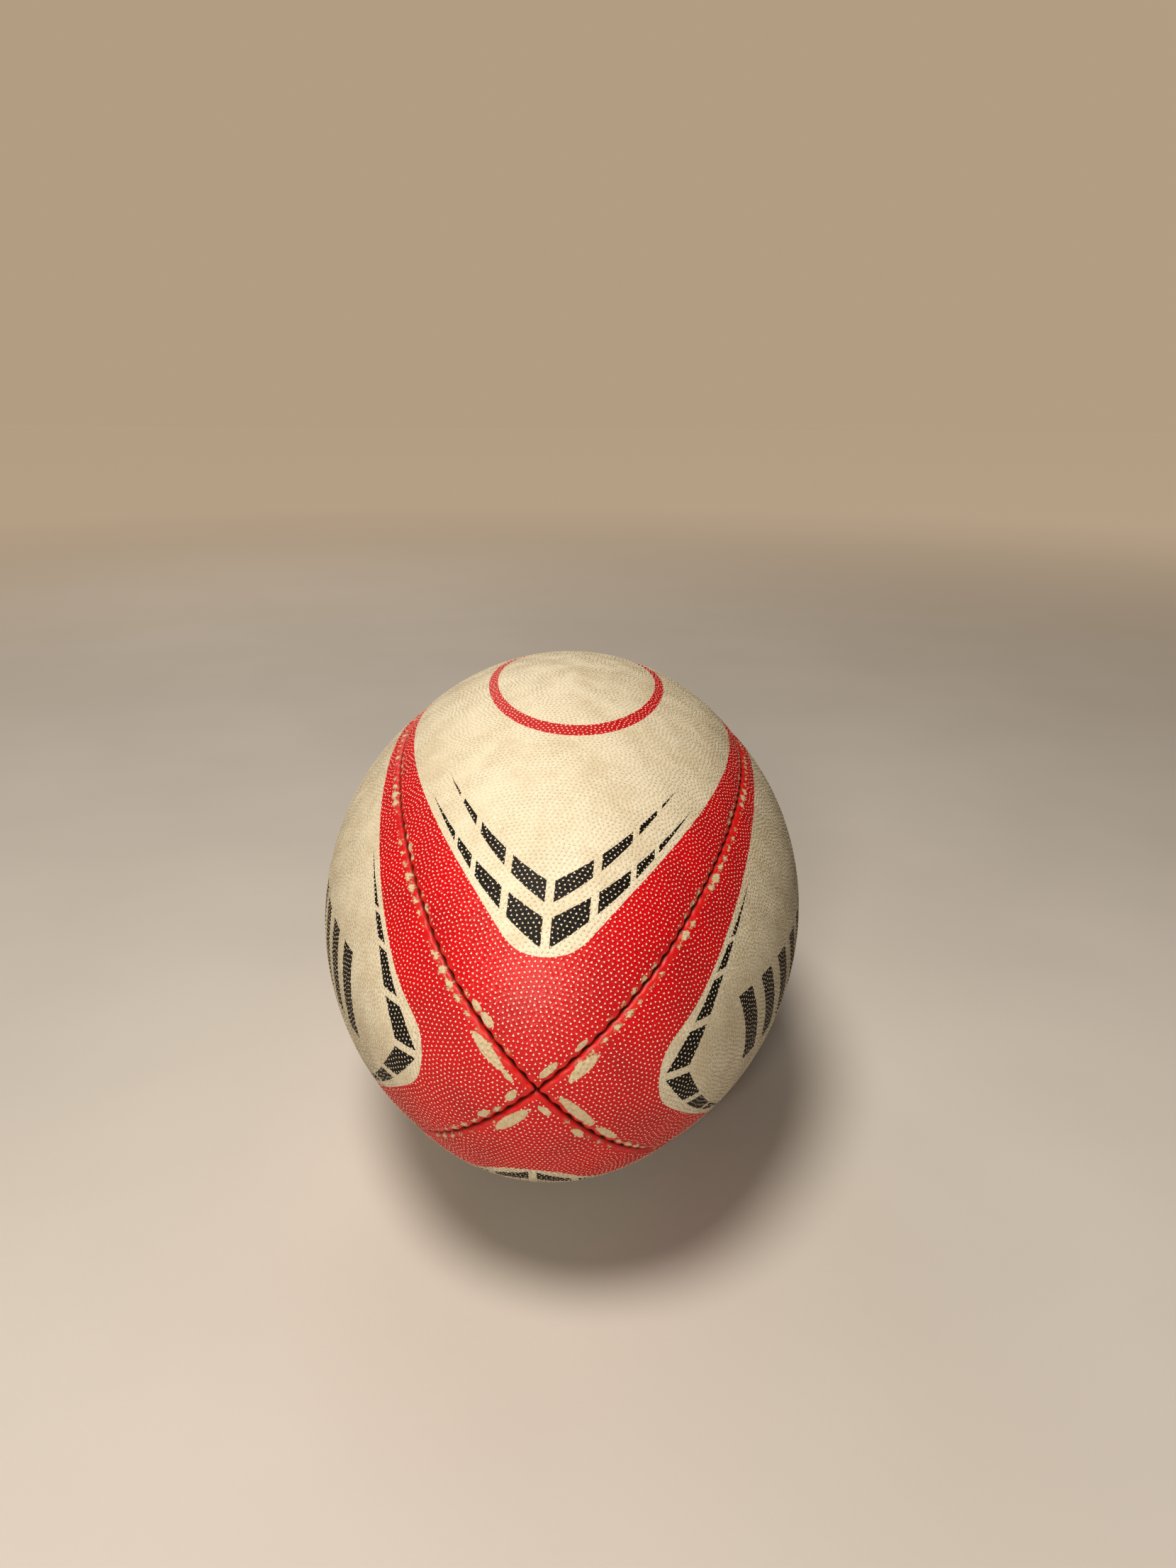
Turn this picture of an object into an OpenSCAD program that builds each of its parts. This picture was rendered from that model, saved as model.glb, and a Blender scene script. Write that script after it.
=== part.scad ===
// Size 5 rubber rugby ball, hand stitched from four panels round a bladder.
// Frame: origin at the centre of the ball, long axis along Y, +Z up, millimetres.
// The ball lies on its belly, so the floor it rests on is at z = -middle_d / 2.

/* [Ball] */
// End to end length
length = 290; // [280:0.5:300]
// Diameter round the middle, measured over the grip pimples
middle_d = 190; // [185:0.5:197]
// Radius of the long arc that shapes the belly
belly_radius = 195; // [185:1:240]
// Turn of the ball about its long axis as it lies on the floor
rest_roll = 3.6; // [0:0.1:45]

/* [Panels] */
// Thickness of the moulded rubber skin, pimples included
skin_t = 1.5; // [1.2:0.1:2.5]
// Thickness of the polyester cloth bonded under the skin
polyester_ply_t = 0.5; // [0.3:0.05:0.8]
// Thickness of the cotton cloth that faces the bladder
cotton_ply_t = 0.4; // [0.3:0.05:0.8]
// Thickness of the panel edge turned inwards for stitching
flange_t = 1.3; // [1:0.1:2]
// How far under the outer surface the turned edge reaches
flange_depth = 6; // [5:0.5:8]
// Gap left between each cloth ply and the turned edge
ply_gap = 0.1; // [0.05:0.05:1]

/* [Seams] */
// Radius that the panel edges roll over with beside a seam
roll_r = 2.2; // [1.5:0.1:3]
// Share of that radius by which the rolled edge drops to the seam line
roll_drop = 0.95; // [0.7:0.01:0.98]
// Width of the slit at the bottom of the seam groove
slit_w = 0.1; // [0.05:0.05:0.3]
// Distance from stitch to stitch
stitch_pitch = 7; // [5:0.5:12]
// Depth of the stitch line under the outer surface
stitch_depth = 4; // [3.5:0.1:5]
// Radius of the waxed thread where it passes through both panel edges
thread_r = 0.42; // [0.3:0.02:0.6]
// Radius of the thread pulled tight between two holes
strand_r = 0.34; // [0.25:0.01:0.5]
// Clearance between the thread and the holes it passes through
thread_gap = 0.03; // [0.02:0.01:0.1]
// How far short of the ball's end the last stitch stays
end_margin = 9; // [6:0.5:20]

/* [Bladder] */
// Gap between the turned panel edges and the bladder
bladder_gap = 0.2; // [0.1:0.1:1]
// Wall of the butyl bladder
bladder_t = 0.6; // [0.4:0.1:1.2]

/* [Valve] */
// Outer radius of the valve neck that stands in the seam
neck_r = 4.4; // [3.8:0.1:6]
// How far the neck's rim is sunk under the outer surface
rim_sink = 0.5; // [0:0.1:2]
// How far the neck reaches under the outer surface
neck_depth = 13; // [12:0.5:20]
// Radius of the valve's foot, bonded to the outside of the bladder
foot_r = 11; // [8:0.5:16]
// Thickness of the valve's foot
foot_t = 1.2; // [0.8:0.1:2]
// Radius of the cloth patch inside the bladder, round the neck
patch_r = 14; // [12:0.5:20]
// Thickness of the cloth patch
patch_t = 0.5; // [0.3:0.1:1]
// Radius of the rubber plug
plug_r = 3; // [2.5:0.1:4]
// Length of the rubber plug
plug_l = 10; // [8:0.5:12]
// Radial clearance of the plug in the neck
plug_gap = 0.05; // [0.02:0.01:0.1]
// Depth of the grooves between the plug's sealing ribs
rib_depth = 0.3; // [0.1:0.05:0.6]
// Radius of the needle bore through the plug
needle_r = 1; // [0.8:0.05:1.2]
// Radius of the air hole in the floor of the neck
air_r = 1.3; // [1:0.1:2]
// Clearance of panels, bladder and patch round the neck
neck_gap = 0.1; // [0.05:0.05:0.5]
// Stitches and turned edges stay this far off the valve's foot
foot_gap = 0.5; // [0.3:0.1:2]

/* [Hidden] */
a = length / 2;
b = middle_d / 2;
// nose arc that meets the belly arc with a common tangent
nose_radius = (2 * belly_radius * b - a * a - b * b) / (2 * (belly_radius - a));
belly_c = b - belly_radius;
nose_c = a - nose_radius;
join_angle = atan2(nose_c, -belly_c);
polyester_d = skin_t + polyester_ply_t;
cotton_d = polyester_d + cotton_ply_t;
bladder_d = flange_depth + bladder_gap;
big = length;
over = 1;
eps = 0.02;
hole_r = thread_r + thread_gap;
strand_end = strand_r / 4;
strand_w = flange_t + strand_r + thread_gap;
valve_gap = foot_r + foot_gap;
plug_top = b - rim_sink - eps;
socket_bottom = plug_top - plug_l - eps;
$fn = 96;

PANEL_ANGLE = [-45, 45, 135, 225];
VALVE_ANGLE = 225;

// arc centre height, radius and angle for a point at path length s from the middle, d under the surface
function belly_len(d) = (belly_radius - d) * join_angle * PI / 180;
function half_len(d) = belly_len(d) + (nose_radius - d) * (90 - join_angle) * PI / 180;
function path_angle(s, d) = s <= belly_len(d)
    ? s / (belly_radius - d) * 180 / PI
    : join_angle + (s - belly_len(d)) / (nose_radius - d) * 180 / PI;
function path_point(s, d) = s <= belly_len(d)
    ? [belly_c, 0] + (belly_radius - d) * [cos(path_angle(s, d)), sin(path_angle(s, d))]
    : [0, nose_c] + (nose_radius - d) * [cos(path_angle(s, d)), sin(path_angle(s, d))];
// stitch points from the middle of a seam to one end, leaving out those nearer the middle than skip
function stitch_places(skip) = [
    for (s = [stitch_pitch / 2 : stitch_pitch : half_len(stitch_depth) - end_margin])
        if (s > skip) path_point(s, stitch_depth)
];

// half of the ball's outline, d under the surface
module half_oval(d) {
    join_z = nose_c + (nose_radius - d) * sin(join_angle);
    intersection() {
        translate([belly_c, 0]) circle(belly_radius - d);
        translate([0, -join_z]) square([big, 2 * join_z]);
    }
    for (side = [0, 1])
        mirror([0, side]) intersection() {
            translate([0, nose_c]) circle(nose_radius - d);
            translate([0, join_z]) square([big, big]);
        }
}

module half_ring(d_out, d_in) {
    difference() {
        half_oval(d_out);
        half_oval(d_in);
    }
}

// stands the ball's axis along Y, with angle 0 at the top and +90 to the right
module lay() {
    rotate([0, rest_roll, 0]) rotate([-90, -90, 0]) children();
}

// sweeps a section along one arc of a seam in the XZ plane, from the arcs' join towards the middle or the end
module seam_sweep(centre, turn) {
    translate([centre[0], 0, centre[1]]) rotate([90, 0, 0]) rotate([0, 0, join_angle])
        mirror([0, turn < 0 ? 1 : 0]) rotate_extrude(angle = abs(turn)) children();
}

// what is left open between two rolled panel edges, with the seam line at r
module groove_section(r) {
    difference() {
        translate([r - roll_r * roll_drop, -roll_r]) square([roll_r * roll_drop + over, 2 * roll_r]);
        for (side = [-1, 1])
            translate([r - roll_r * roll_drop, side * (roll_r + slit_w / 2)]) circle(roll_r);
    }
}

module seam_groove() {
    for (side = [0, 1])
        mirror([0, 0, side]) {
            seam_sweep([belly_c, 0], -join_angle - over) groove_section(belly_radius);
            seam_sweep([0, nose_c], 90 - join_angle + over) groove_section(nose_radius);
        }
}

// panel edge turned inwards along the seam in the XZ plane, with its stitch holes
module flange(skip) {
    rotate([90, 0, 0]) mirror([0, 0, 1]) linear_extrude(flange_t) difference() {
        half_ring(skin_t / 2, flange_depth);
        for (side = [0, 1], p = stitch_places(skip)) mirror([0, side]) translate(p) circle(hole_r);
    }
}

// room for the valve neck and its foot, on the seam in the XZ plane
module valve_notch() {
    rotate([0, 90, 0]) {
        cylinder(r = neck_r + neck_gap, h = big);
        cylinder(r = valve_gap, h = b - cotton_d - over);
    }
}

// one rubber panel between the seams at 0 and 90 degrees; valve_side 0 none, 1 first seam, 2 second seam
module panel_skin(valve_side) {
    difference() {
        union() {
            rotate_extrude(angle = 90) half_ring(0, skin_t);
            flange(valve_side == 1 ? valve_gap : 0);
            rotate([0, 0, 90]) mirror([0, 1, 0]) flange(valve_side == 2 ? valve_gap : 0);
        }
        seam_groove();
        rotate([0, 0, 90]) seam_groove();
        if (valve_side > 0) rotate([0, 0, valve_side == 1 ? 0 : 90]) valve_notch();
    }
}

module ply(d_out, d_in, valve_side) {
    edge = flange_t + ply_gap;
    difference() {
        intersection() {
            rotate_extrude(angle = 90) half_ring(d_out, d_in);
            translate([edge, edge, -big]) cube([big, big, 2 * big]);
        }
        if (valve_side > 0) rotate([0, 0, valve_side == 1 ? 0 : 90]) valve_notch();
    }
}

// one stitch hole's thread, lying across the seam and standing just proud of both strands
module stitch_loop(p) {
    translate([p[0], -strand_w - thread_r, p[1]]) rotate([-90, 0, 0])
        cylinder(r = thread_r, h = 2 * (strand_w + thread_r));
}

// thread pulled straight from one stitch hole to the next, on one side of the seam
module strand(p, q, w) {
    step = norm(q - p);
    translate([p[0], w, p[1]]) rotate([0, atan2(q[0] - p[0], q[1] - p[1]), 0])
        translate([0, 0, strand_end]) cylinder(r = strand_r, h = step - 2 * strand_end);
}

// one length of thread through a row of stitch points
module stitched_row(row) {
    for (p = row) stitch_loop(p);
    for (i = [1 : len(row) - 1], w = [-strand_w, strand_w]) strand(row[i - 1], row[i], w);
}

function flipped(row) = [for (i = [len(row) - 1 : -1 : 0]) [row[i][0], -row[i][1]]];

// the lock-stitched thread of the seam in the XZ plane; skip leaves room for a valve
module seam_thread(skip) {
    half = stitch_places(skip);
    if (skip == 0) stitched_row(concat(flipped(half), half));
    else {
        stitched_row(half);
        stitched_row(flipped(half));
    }
}

module bladder() {
    color("#c9b27c") lay() difference() {
        rotate_extrude() half_ring(bladder_d, bladder_d + bladder_t);
        valve_axis() cylinder(r = neck_r + neck_gap, h = big);
    }
}

module valve_axis() {
    rotate([0, 0, VALVE_ANGLE]) rotate([0, 90, 0]) children();
}

module valve_body() {
    color("#1d1d1d") lay() difference() {
        union() {
            valve_axis() translate([0, 0, b - neck_depth]) cylinder(r = neck_r, h = neck_depth - rim_sink);
            intersection() {
                valve_axis() cylinder(r = foot_r, h = big);
                rotate_extrude() half_ring(bladder_d - foot_t, bladder_d);
            }
        }
        valve_axis() translate([0, 0, socket_bottom]) cylinder(r = plug_r + plug_gap, h = big);
        valve_axis() cylinder(r = air_r, h = big);
    }
}

// straight plug with sealing ribs and the bore an inflation needle goes through
module valve_plug() {
    rib = plug_l / 5;
    color("#303030") lay() valve_axis() translate([0, 0, plug_top - plug_l]) rotate_extrude() difference() {
        translate([needle_r, 0]) square([plug_r - needle_r, plug_l]);
        for (i = [1, 3])
            translate([plug_r - rib_depth, i * rib]) square([plug_r, rib]);
    }
}

module valve_patch() {
    color("#e6e2d6") lay() difference() {
        intersection() {
            valve_axis() cylinder(r = patch_r, h = big);
            rotate_extrude() half_ring(bladder_d + bladder_t, bladder_d + bladder_t + patch_t);
        }
        valve_axis() cylinder(r = neck_r + neck_gap, h = big);
    }
}

module top_panel_skin() { color("#e0d6b8") lay() rotate([0, 0, PANEL_ANGLE[0]]) panel_skin(0); }
module right_panel_skin() { color("#c4141f") lay() rotate([0, 0, PANEL_ANGLE[1]]) panel_skin(0); }
module bottom_panel_skin() { color("#e0d6b8") lay() rotate([0, 0, PANEL_ANGLE[2]]) panel_skin(2); }
module left_panel_skin() { color("#c4141f") lay() rotate([0, 0, PANEL_ANGLE[3]]) panel_skin(1); }

module cloth(i, d_out, d_in, tone) {
    valve_side = i == 2 ? 2 : i == 3 ? 1 : 0;
    color(tone) lay() rotate([0, 0, PANEL_ANGLE[i]]) ply(d_out, d_in, valve_side);
}

module top_polyester_ply() { cloth(0, skin_t, polyester_d, "#d7dadf"); }
module right_polyester_ply() { cloth(1, skin_t, polyester_d, "#d7dadf"); }
module bottom_polyester_ply() { cloth(2, skin_t, polyester_d, "#d7dadf"); }
module left_polyester_ply() { cloth(3, skin_t, polyester_d, "#d7dadf"); }

module top_cotton_ply() { cloth(0, polyester_d, cotton_d, "#d8cba8"); }
module right_cotton_ply() { cloth(1, polyester_d, cotton_d, "#d8cba8"); }
module bottom_cotton_ply() { cloth(2, polyester_d, cotton_d, "#d8cba8"); }
module left_cotton_ply() { cloth(3, polyester_d, cotton_d, "#d8cba8"); }

module upper_left_seam_thread() { color("#efe6cf") lay() rotate([0, 0, PANEL_ANGLE[0]]) seam_thread(0); }
module upper_right_seam_thread() { color("#efe6cf") lay() rotate([0, 0, PANEL_ANGLE[1]]) seam_thread(0); }
module lower_right_seam_thread() { color("#efe6cf") lay() rotate([0, 0, PANEL_ANGLE[2]]) seam_thread(0); }
module lower_left_seam_thread() { color("#efe6cf") lay() rotate([0, 0, VALVE_ANGLE]) seam_thread(valve_gap); }

top_panel_skin();
right_panel_skin();
bottom_panel_skin();
left_panel_skin();
top_polyester_ply();
right_polyester_ply();
bottom_polyester_ply();
left_polyester_ply();
top_cotton_ply();
right_cotton_ply();
bottom_cotton_ply();
left_cotton_ply();
upper_left_seam_thread();
upper_right_seam_thread();
lower_right_seam_thread();
lower_left_seam_thread();
bladder();
valve_body();
valve_plug();
valve_patch();
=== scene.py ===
"""Looks for the rugby ball: pimpled, printed rubber panels with rolled seams, cloth plies, thread and valve.

Every panel is laid out flat first. s runs along the panel's middle line, 0 at the ball's middle, and t runs
across it, both in millimetres. depth is measured into the ball from the smooth CAD surface.
"""
import functools
import math

import bpy
import numpy as np
from mathutils import Matrix, Vector
from mathutils.geometry import delaunay_2d_cdt


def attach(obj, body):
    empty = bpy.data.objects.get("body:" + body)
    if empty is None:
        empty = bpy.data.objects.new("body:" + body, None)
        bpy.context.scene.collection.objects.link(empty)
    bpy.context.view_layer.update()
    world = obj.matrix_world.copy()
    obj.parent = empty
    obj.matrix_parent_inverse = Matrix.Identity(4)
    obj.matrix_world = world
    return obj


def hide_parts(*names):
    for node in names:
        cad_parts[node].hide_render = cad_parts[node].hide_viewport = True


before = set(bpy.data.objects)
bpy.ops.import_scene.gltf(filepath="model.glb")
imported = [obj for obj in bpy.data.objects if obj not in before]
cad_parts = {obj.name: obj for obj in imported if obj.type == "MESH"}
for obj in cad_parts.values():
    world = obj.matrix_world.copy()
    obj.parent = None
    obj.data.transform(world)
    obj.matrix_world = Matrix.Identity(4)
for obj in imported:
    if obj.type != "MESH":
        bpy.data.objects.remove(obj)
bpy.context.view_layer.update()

MM = 0.001
# outline of the ball, as in the CAD: a belly arc and two nose arcs that meet it smoothly
HALF_LENGTH, HALF_MIDDLE = 145.0, 95.0
BELLY_R, NOSE_R = 195.0, 70.0
BELLY_C = HALF_MIDDLE - BELLY_R
NOSE_C = HALF_LENGTH - NOSE_R
JOIN = math.atan2(NOSE_C, -BELLY_C)
HALF_PATH = BELLY_R * JOIN + NOSE_R * (math.pi / 2 - JOIN)
REST_ROLL = math.radians(3.6)
FLAT_DEPTH = 3.0
QUARTER = math.pi / 4
PANELS = {"top": 0, "right": 1, "bottom": 2, "left": 3}
# the seams pull in and the panels crown between them, as shares of the local radius
CROWN, SEAM_PULL = 0.010, 0.011
# pimples: mean spacing, foot and top radius, height, how many sides
PITCH = 1.68
FOOT_R, TOP_R, TALL, SIDES = 0.66, 0.45, 0.32, 3
RIM_DROP = 0.05                 # how far a pimple's rim lies under its crown
PIMPLE_END = 3.6                # nearest a pimple comes to the panel's point
PIMPLE_CLEAR = 1.3              # nearest to a rolled edge, in foot radii
ROW_STEP = 0.866                # height of an even triangle, in spacings
EVEN_ROUNDS, EVEN_PUSH = 12, 0.3
TOO_CLOSE = 0.7                 # share of the spacing under which one of two pimples goes
BIGGEST_FOOT = 0.41             # foot radius as a share of the distance to the nearest pimple
# seam edges: radius of the rolled edge, how far it drops, half the gap between two panels
EDGE_ROLL = {"top": 1.2, "right": 1.6, "bottom": 1.5, "left": 1.6}
EDGE_DROP, SLIT = 2.0, 0.05
ROLL_STEPS = 6
ROLL_SHARE, FLANGE_SHARE = 0.62, 0.45   # the most of the half width a roll or a flange may take
STITCH, STITCH_SHIFT = 5.5, 0.35        # stitch spacing, and how far one side's stitches lag
RAIL_STEP, RAIL_END = 1.4, 0.9          # mesh rows along the seams, and the bare tip of the panel
# thickness of the skin, and thickness and depth of the flange that is turned in for sewing
SKIN, FLANGE_T, FLANGE_DEPTH = 1.5, 1.3, 6.0
# the edges stand back round the valve neck, and their flanges stop short over its foot
NOTCH_DEPTH, NOTCH_REACH, NOTCH_SPREAD = 4.9, 5.7, 1.15
FOOT_GAP, FOOT_FLANGE, FOOT_RAILS = 11.5, 3.2, 56
INNER_POINTS = 12


# ---------------------------------------------------------------- the ball's surface

def outline(s):
    """Radius, place along the axis and outward direction on the smooth outline, at path length s."""
    p = np.abs(s)
    on_belly = p < BELLY_R * JOIN
    angle = np.where(on_belly, p / BELLY_R, JOIN + (p - BELLY_R * JOIN) / NOSE_R)
    r = np.where(on_belly, BELLY_C + BELLY_R * np.cos(angle), NOSE_R * np.cos(angle))
    y = np.where(on_belly, BELLY_R * np.sin(angle), NOSE_C + NOSE_R * np.sin(angle))
    return r, np.sign(s) * y, np.cos(angle), np.sign(s) * np.sin(angle)


def half_width(s):
    """From a panel's middle line to its seam, measured round the ball."""
    return outline(s)[0] * QUARTER


def lobe(angle):
    """How far the skin stands out at an angle from the panel's middle line, as a share of the radius."""
    fall = (1 - np.cos(angle)) / (1 - math.cos(QUARTER))
    return 1 + CROWN - (CROWN + SEAM_PULL) * fall


def turned(along, across, y, panel):
    """Points from a panel's own radial and sideways offsets, turned into place round the ball."""
    a = panel * math.pi / 2 + REST_ROLL
    x = along * math.sin(a) + across * math.cos(a)
    z = along * math.cos(a) - across * math.sin(a)
    return np.stack([x, y, z], -1)


def rest_on_floor(points, depth):
    """The belly flattens where the ball lies on the floor, and the layers stay apart down to FLAT_DEPTH."""
    points[..., 2] = np.maximum(points[..., 2], -HALF_MIDDLE + np.minimum(depth, FLAT_DEPTH))
    return points


def on_panel(s, t, depth, panel):
    """A point of a panel from its flat place and its depth under the surface."""
    r, y, nr, ny = outline(s)
    angle = t / np.maximum(r, 1e-6)
    out = (r - depth * nr) * lobe(angle)
    return rest_on_floor(turned(out * np.cos(angle), out * np.sin(angle), y - depth * ny, panel), depth)


def by_seam(s, side, w, depth, panel):
    """A point at distance w from the seam's own plane, depth under the surface at the seam."""
    r, y, nr, ny = outline(s)
    out = (r - depth * nr) * lobe(QUARTER)
    c = math.cos(QUARTER)
    return rest_on_floor(turned(out * c + w * c, side * (out * c - w * c), y - depth * ny, panel), depth)


# ---------------------------------------------------------------- wear

FAR_FROM_SPOT = -3.0
# worn spots by panel: distance from the near end, offset from the seam on the + or - side, half length and
# half width
SPOTS = {
    "top": ((7.5, 3.0, 1, 4.0, 1.5), (27.0, 2.4, -1, 3.2, 1.6), (32.5, 2.2, -1, 2.4, 1.3),
            (20.0, 2.0, 1, 3.0, 1.0)),
    "right": ((16.0, 4.0, -1, 6.5, 2.0), (15.0, 3.4, 1, 8.5, 2.0), (30.0, 3.0, 1, 6.0, 1.5)),
    "bottom": ((15.0, 3.8, 1, 7.5, 2.2), (8.0, 3.6, -1, 2.5, 1.4), (22.0, 2.6, -1, 3.0, 1.4)),
    "left": ((19.5, 3.8, 1, 8.0, 2.0), (8.5, 3.6, -1, 2.4, 1.8), (21.0, 3.0, -1, 2.6, 1.5),
             (10.0, 4.0, 1, 2.5, 1.2)),
}


def worn_spots(s, t, name):
    """Above 0 inside a worn spot, falling with distance; the far end is worn like the near end."""
    e = HALF_PATH - np.abs(s)
    from_seam = half_width(s) - np.abs(t)
    best = np.full_like(e, FAR_FROM_SPOT)
    for start, off, side, long_r, wide_r in SPOTS[name]:
        here = np.sign(t) * np.where(s < 0, 1, -1) == side
        d = 1 - ((e - start) / long_r) ** 2 - ((from_seam - off) / wide_r) ** 2
        best = np.where(here, np.maximum(best, d), best)
    return best


# ---------------------------------------------------------------- building a panel's mesh

def chart(s, t):
    """Across and along on a nearly undistorted flat sheet, as if each band of the panel were unrolled."""
    r, _, _, ny = outline(s)
    bend = -ny * t / np.maximum(r, 1e-6)
    return np.stack([t * np.sinc(bend / math.pi), s - t * np.sin(bend / 2) * np.sinc(bend / math.tau)], -1)


def triangles(points, loops=()):
    """Delaunay triangles over flat points, only inside the loops if there are any."""
    flat = [Vector(p) for p in points.tolist()]
    found = delaunay_2d_cdt(flat, [], loops, 1 if loops else 0, 1e-7)
    source = np.array([o[0] if o else -1 for o in found[3]])
    return source[np.array(found[2])]


def roll_radius(s, name):
    """Radius of a panel's rolled edge, less where the panel narrows to its point."""
    return np.minimum(EDGE_ROLL[name], ROLL_SHARE * half_width(s))


def neighbours(s, t):
    """Pairs of points that lie side by side."""
    tri = triangles(chart(s, t))
    return np.unique(np.sort(np.concatenate([tri[:, :2], tri[:, 1:], tri[:, ::2]]), 1), axis=0).T


def apart(s, t, a, b):
    """True offsets between paired points, their distances, and how far t slides for each step along s."""
    r, _, _, ny = outline(s)
    slide = -t / r * ny
    ds = s[b] - s[a]
    dt = t[b] - t[a] - (slide[a] + slide[b]) / 2 * ds
    return ds, dt, np.sqrt(ds ** 2 + dt ** 2) + 1e-6, slide


@functools.lru_cache
def scatter(name):
    """Middles of the pimples: scattered at random over the panel, then pushed apart until evenly spaced."""
    rng = np.random.default_rng(40 + PANELS[name])
    end = HALF_PATH - PIMPLE_END
    spare = lambda s: roll_radius(s, name) + FOOT_R * PIMPLE_CLEAR
    low = lambda s: -half_width(s) + NOTCH_SPREAD * notch(s, -1, name) + spare(s)
    high = lambda s: half_width(s) - NOTCH_SPREAD * notch(s, 1, name) - spare(s)
    rows = np.arange(-end, end, PITCH * ROW_STEP)
    wide = high(rows) - low(rows)
    many = np.maximum(1, np.round(wide / PITCH + rng.uniform(-0.5, 0.5, len(rows)))).astype(int)
    order = np.concatenate([np.arange(n) + 0.5 for n in many]) / np.repeat(many, many)
    s = np.repeat(rows, many)
    t = low(s) + order * np.repeat(wide, many)
    s, t = s + rng.uniform(-0.65, 0.65, len(s)), t + rng.uniform(-0.7, 0.7, len(t))
    for turn in range(EVEN_ROUNDS):
        if turn % 3 == 0:
            a, b = neighbours(s, t)
        ds, dt, gap, slide = apart(s, t, a, b)
        push = EVEN_PUSH * np.maximum(PITCH * 1.12 - gap, 0) / gap
        for ids, sign in ((a, -1), (b, 1)):
            np.add.at(s, ids, sign * push * ds)
            np.add.at(t, ids, sign * push * (dt + slide[ids] * ds))
        s = np.clip(s, -end, end)
        t = np.clip(t, low(s), high(s))
    a, b = neighbours(s, t)
    keep = np.ones(len(s), bool)
    keep[b[apart(s, t, a, b)[2] < TOO_CLOSE * PITCH]] = False
    s, t = s[keep], t[keep]
    a, b = neighbours(s, t)
    _, _, gap, slide = apart(s, t, a, b)
    nearest = np.full(len(s), PITCH)
    np.minimum.at(nearest, a, gap)
    np.minimum.at(nearest, b, gap)
    return s, t, nearest, slide


class Sheet:
    """Points of one panel, their flat places, how far up a pimple they are, and the faces between."""

    def __init__(self):
        self.points, self.flat, self.tops, self.count = [], [], [], 0
        self.outer, self.inner = [], []

    def add(self, points, s, t, top=0.0):
        points = points.reshape(-1, 3)
        n = len(points)
        self.points.append(points)
        self.flat.append(np.stack([np.broadcast_to(v, n) for v in (s, t)], 1).astype(float))
        self.tops.append(np.full(n, top))
        self.count += n
        return np.arange(self.count - n, self.count)

    def quads(self, group, a, b, c, d):
        self.tris(group, a, b, c)
        self.tris(group, a, c, d)

    def tris(self, group, a, b, c):
        group.append(np.stack(np.broadcast_arrays(a, b, c), -1).reshape(-1, 3))


def pimples(sheet, name, left_out):
    """Adds a panel's pimples; returns their foot points, one column a pimple, flat places and numbers."""
    panel = PANELS[name]
    number = np.array([i for i in range(len(scatter(name)[0])) if i not in left_out])
    s, t, nearest, slide = (v[number] for v in scatter(name))
    n = len(s)
    rng = np.random.default_rng(50 + panel)
    size = np.minimum(rng.uniform(0.84, 1.02, n), BIGGEST_FOOT * nearest / FOOT_R)
    turn = rng.uniform(0, math.tau, n)
    feet, rims, places = [], [], []
    for k in range(SIDES):
        a = turn + k * math.tau / SIDES
        bent = size * rng.uniform(0.88, 1.12, n)
        for ring, radius, tall in ((feet, FOOT_R, 0.0), (rims, TOP_R, TALL - RIM_DROP)):
            up, over = radius * bent * np.sin(a), radius * bent * np.cos(a)
            ss, tt = s + up, t + over + slide * up
            if ring is feet:
                places.append(chart(ss, tt))
            sunk = TALL - tall + edge_sink(ss, tt, panel)
            ring.append(sheet.add(on_panel(ss, tt, sunk, panel), ss, tt, 0.5 if tall else 0.0))
    crown = sheet.add(on_panel(s, t, edge_sink(s, t, panel), panel), s, t, 1.0)
    for k in range(SIDES):
        after = (k + 1) % SIDES
        sheet.quads(sheet.outer, feet[k], feet[after], rims[after], rims[k])
        sheet.tris(sheet.outer, crown, rims[k], rims[after])
    return np.array(feet), np.concatenate(places), number


def edge_sink(s, t, panel):
    """Puckers beside the seam: the skin dips where each stitch draws it in."""
    from_seam = half_width(s) - np.abs(t)
    pull = np.clip(1 - (from_seam - 1.0) / 4.5, 0, 1) ** 2
    side = np.where(np.sign(t) > 0, 0.0, STITCH_SHIFT)
    beat = 0.5 + 0.5 * np.cos((s / STITCH + side + 0.08 * np.sin(s * 0.37 + panel)) * math.tau)
    return pull * (0.10 + 0.30 * beat)


def notch(s, side, name):
    """How far a panel's edge stands back round the valve, which sits in the lower left seam."""
    if (name, side) not in (("bottom", 1), ("left", -1)):
        return np.zeros_like(s)
    return NOTCH_DEPTH * np.cos(np.clip(s / NOTCH_REACH, -1, 1) * math.pi / 2)


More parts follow.
